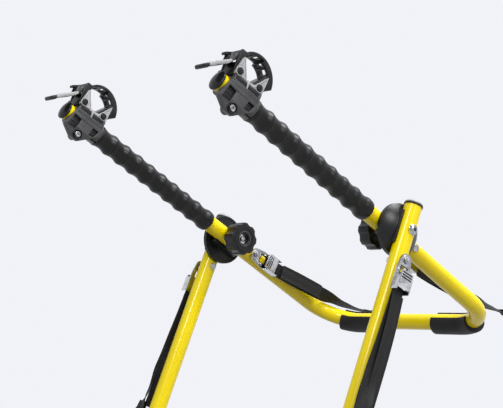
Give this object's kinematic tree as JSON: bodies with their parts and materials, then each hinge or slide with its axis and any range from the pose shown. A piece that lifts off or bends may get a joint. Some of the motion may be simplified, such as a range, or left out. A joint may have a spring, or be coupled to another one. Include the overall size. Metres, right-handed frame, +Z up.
{
  "type": "trunk bike carrier",
  "caption": "Folding tube-frame carrier for a tailgate, with ribbed arm sleeves, ratchet-strap bicycle clamps, hub knobs, rest pads and hooked webbing straps",
  "frame": {"origin": "the middle of the hinge axis that joins the upper and lower frames", "axes": "+X along the hinge axis to the carrier's right-hand side, +Y towards the car, +Z up"},
  "size_m": [0.564, 0.7466, 0.7027],
  "materials": {
    "yellow_paint": "smooth gloss powder coat",
    "sleeve_rubber": "satin, ribbed",
    "black_plastic": "satin moulded",
    "bright_zinc": "bright zinc plate",
    "pad_rubber": "matt",
    "clamp_grey": "fine-grained moulded",
    "jaw_grey": "fine-grained moulded",
    "webbing": "woven, matt",
    "hook_coat": "soft dipped coat"
  },
  "bodies": {
    "upper_frame": {"upper_frame_tube": "yellow_paint", "upper_strap_bolts": "bright_zinc", "arm_sleeve_left": "sleeve_rubber", "arm_sleeve_right": "sleeve_rubber", "arm_end_cap_left": "black_plastic", "arm_end_cap_right": "black_plastic", "frame_hub_plate_left": "black_plastic", "frame_hub_plate_right": "black_plastic", "pivot_bolt_left": "bright_zinc", "pivot_bolt_right": "bright_zinc", "upper_pad_left": "pad_rubber", "upper_pad_right": "pad_rubber"},
    "lower_frame": {"lower_frame_tube": "yellow_paint", "lower_strap_bolts": "bright_zinc", "leg_end_cap_left": "black_plastic", "leg_end_cap_right": "black_plastic", "leg_hub_dome_left": "black_plastic", "leg_hub_dome_right": "black_plastic", "lower_pad_left": "pad_rubber", "lower_pad_right": "pad_rubber"},
    "washer_left": {"knob_washer_left": "bright_zinc"},
    "knob_left": {"hub_knob_left": "black_plastic", "knob_nut_left": "bright_zinc"},
    "clamp_left": {"clamp_body_left": "clamp_grey", "clamp_bolt_left": "bright_zinc", "cradle_bracket_left": "jaw_grey", "jaw_pins_left": "black_plastic", "cradle_rubber_left": "pad_rubber", "ratchet_base_left": "black_plastic"},
    "ladder_strap_left": {"ladder_strap_left": "black_plastic"},
    "lever_left": {"ratchet_lever_left": "clamp_grey"},
    "tab_left": {"release_tab_left": "black_plastic"},
    "upper_strap_left": {"upper_buckle_left": "bright_zinc", "upper_webbing_left": "webbing", "upper_hook_left": "hook_coat"},
    "upper_cam_left": {"upper_cam_left": "bright_zinc"},
    "lower_strap_left": {"lower_buckle_left": "bright_zinc", "lower_webbing_left": "webbing", "lower_hook_left": "hook_coat"},
    "lower_cam_left": {"lower_cam_left": "bright_zinc"},
    "washer_right": {"knob_washer_right": "bright_zinc"},
    "knob_right": {"hub_knob_right": "black_plastic", "knob_nut_right": "bright_zinc"},
    "clamp_right": {"clamp_body_right": "clamp_grey", "clamp_bolt_right": "bright_zinc", "cradle_bracket_right": "jaw_grey", "jaw_pins_right": "black_plastic", "cradle_rubber_right": "pad_rubber", "ratchet_base_right": "black_plastic"},
    "ladder_strap_right": {"ladder_strap_right": "black_plastic"},
    "lever_right": {"ratchet_lever_right": "clamp_grey"},
    "tab_right": {"release_tab_right": "black_plastic"},
    "upper_strap_right": {"upper_buckle_right": "bright_zinc", "upper_webbing_right": "webbing", "upper_hook_right": "hook_coat"},
    "upper_cam_right": {"upper_cam_right": "bright_zinc"},
    "lower_strap_right": {"lower_buckle_right": "bright_zinc", "lower_webbing_right": "webbing", "lower_hook_right": "hook_coat"},
    "lower_cam_right": {"lower_cam_right": "bright_zinc"}
  },
  "joints": [
    {"name": "frame_hinge", "type": "hinge", "parent": "upper_frame", "child": "lower_frame", "pos_m": [0, 0, 0], "axis": [1, 0, 0], "range_deg": [-40, 84]},
    {"name": "washer_slide_left", "type": "slide", "parent": "upper_frame", "child": "washer_left", "axis": [1, 0, 0], "range_m": [0, 0.003]},
    {"name": "knob_turn_left", "type": "hinge", "parent": "washer_left", "child": "knob_left", "pos_m": [-0.16, 0, 0], "axis": [1, 0, 0], "range_deg": [0, 720]},
    {"name": "clamp_swivel_left", "type": "hinge", "parent": "upper_frame", "child": "clamp_left", "pos_m": [-0.1905, -0.31302, 0.17782], "axis": [0, -0.8695, 0.4939], "range_deg": [-45, 45]},
    {"name": "ladder_strap_lift_left", "type": "hinge", "parent": "clamp_left", "child": "ladder_strap_left", "pos_m": [-0.1905, -0.28706, 0.1901], "axis": [-1, 0, 0], "range_deg": [0, 32]},
    {"name": "lever_lift_left", "type": "hinge", "parent": "clamp_left", "child": "lever_left", "pos_m": [-0.1905, -0.31243, 0.23959], "axis": [-1, 0, 0], "range_deg": [0, 60], "stiffness_Nm_per_rad": 0.02, "springref_deg": -17.19},
    {"name": "release_tab_press_left", "type": "hinge", "parent": "lever_left", "child": "tab_left", "pos_m": [-0.1905, -0.32396, 0.23751], "axis": [1, 0, 0], "range_deg": [0, 12], "stiffness_Nm_per_rad": 0.01, "springref_deg": -17.19},
    {"name": "upper_strap_swing_left", "type": "hinge", "parent": "upper_frame", "child": "upper_strap_left", "pos_m": [-0.1765, 0.04521, -0.02568], "axis": [1, 0, 0], "range_deg": [0, 20]},
    {"name": "upper_cam_open_left", "type": "hinge", "parent": "upper_strap_left", "child": "upper_cam_left", "pos_m": [-0.1642, 0.0826, -0.04692], "axis": [0, 0.4939, 0.8695], "range_deg": [0, 30], "stiffness_Nm_per_rad": 0.05, "springref_deg": -17.19},
    {"name": "lower_strap_swing_left", "type": "hinge", "parent": "lower_frame", "child": "lower_strap_left", "pos_m": [-0.24, -0.02132, -0.04743], "axis": [1, 0, 0], "range_deg": [-10, 20]},
    {"name": "lower_cam_open_left", "type": "hinge", "parent": "lower_strap_left", "child": "lower_cam_left", "pos_m": [-0.2523, -0.03894, -0.08665], "axis": [0, -0.9121, 0.4099], "range_deg": [0, 30], "stiffness_Nm_per_rad": 0.05, "springref_deg": -17.19},
    {"name": "washer_slide_right", "type": "slide", "parent": "upper_frame", "child": "washer_right", "axis": [-1, 0, 0], "range_m": [0, 0.003]},
    {"name": "knob_turn_right", "type": "hinge", "parent": "washer_right", "child": "knob_right", "pos_m": [0.16, 0, 0], "axis": [-1, 0, 0], "range_deg": [0, 720]},
    {"name": "clamp_swivel_right", "type": "hinge", "parent": "upper_frame", "child": "clamp_right", "pos_m": [0.1905, -0.31302, 0.17782], "axis": [0, -0.8695, 0.4939], "range_deg": [-45, 45]},
    {"name": "ladder_strap_lift_right", "type": "hinge", "parent": "clamp_right", "child": "ladder_strap_right", "pos_m": [0.1905, -0.28706, 0.1901], "axis": [-1, 0, 0], "range_deg": [0, 32]},
    {"name": "lever_lift_right", "type": "hinge", "parent": "clamp_right", "child": "lever_right", "pos_m": [0.1905, -0.31243, 0.23959], "axis": [-1, 0, 0], "range_deg": [0, 60], "stiffness_Nm_per_rad": 0.02, "springref_deg": -17.19},
    {"name": "release_tab_press_right", "type": "hinge", "parent": "lever_right", "child": "tab_right", "pos_m": [0.1905, -0.32396, 0.23751], "axis": [1, 0, 0], "range_deg": [0, 12], "stiffness_Nm_per_rad": 0.01, "springref_deg": -17.19},
    {"name": "upper_strap_swing_right", "type": "hinge", "parent": "upper_frame", "child": "upper_strap_right", "pos_m": [0.1765, 0.04521, -0.02568], "axis": [1, 0, 0], "range_deg": [0, 20]},
    {"name": "upper_cam_open_right", "type": "hinge", "parent": "upper_strap_right", "child": "upper_cam_right", "pos_m": [0.1642, 0.0826, -0.04692], "axis": [0, -0.4939, -0.8695], "range_deg": [0, 30], "stiffness_Nm_per_rad": 0.05, "springref_deg": -17.19},
    {"name": "lower_strap_swing_right", "type": "hinge", "parent": "lower_frame", "child": "lower_strap_right", "pos_m": [0.24, -0.02132, -0.04743], "axis": [1, 0, 0], "range_deg": [-10, 20]},
    {"name": "lower_cam_open_right", "type": "hinge", "parent": "lower_strap_right", "child": "lower_cam_right", "pos_m": [0.2523, -0.03894, -0.08665], "axis": [0, 0.9121, -0.4099], "range_deg": [0, 30], "stiffness_Nm_per_rad": 0.05, "springref_deg": -17.19}
  ],
  "couplings": [
    {"joint": "washer_slide_left", "follows": "knob_turn_left", "m_per_rad": 0.00023873},
    {"joint": "washer_slide_right", "follows": "knob_turn_right", "m_per_rad": 0.00023873}
  ]
}
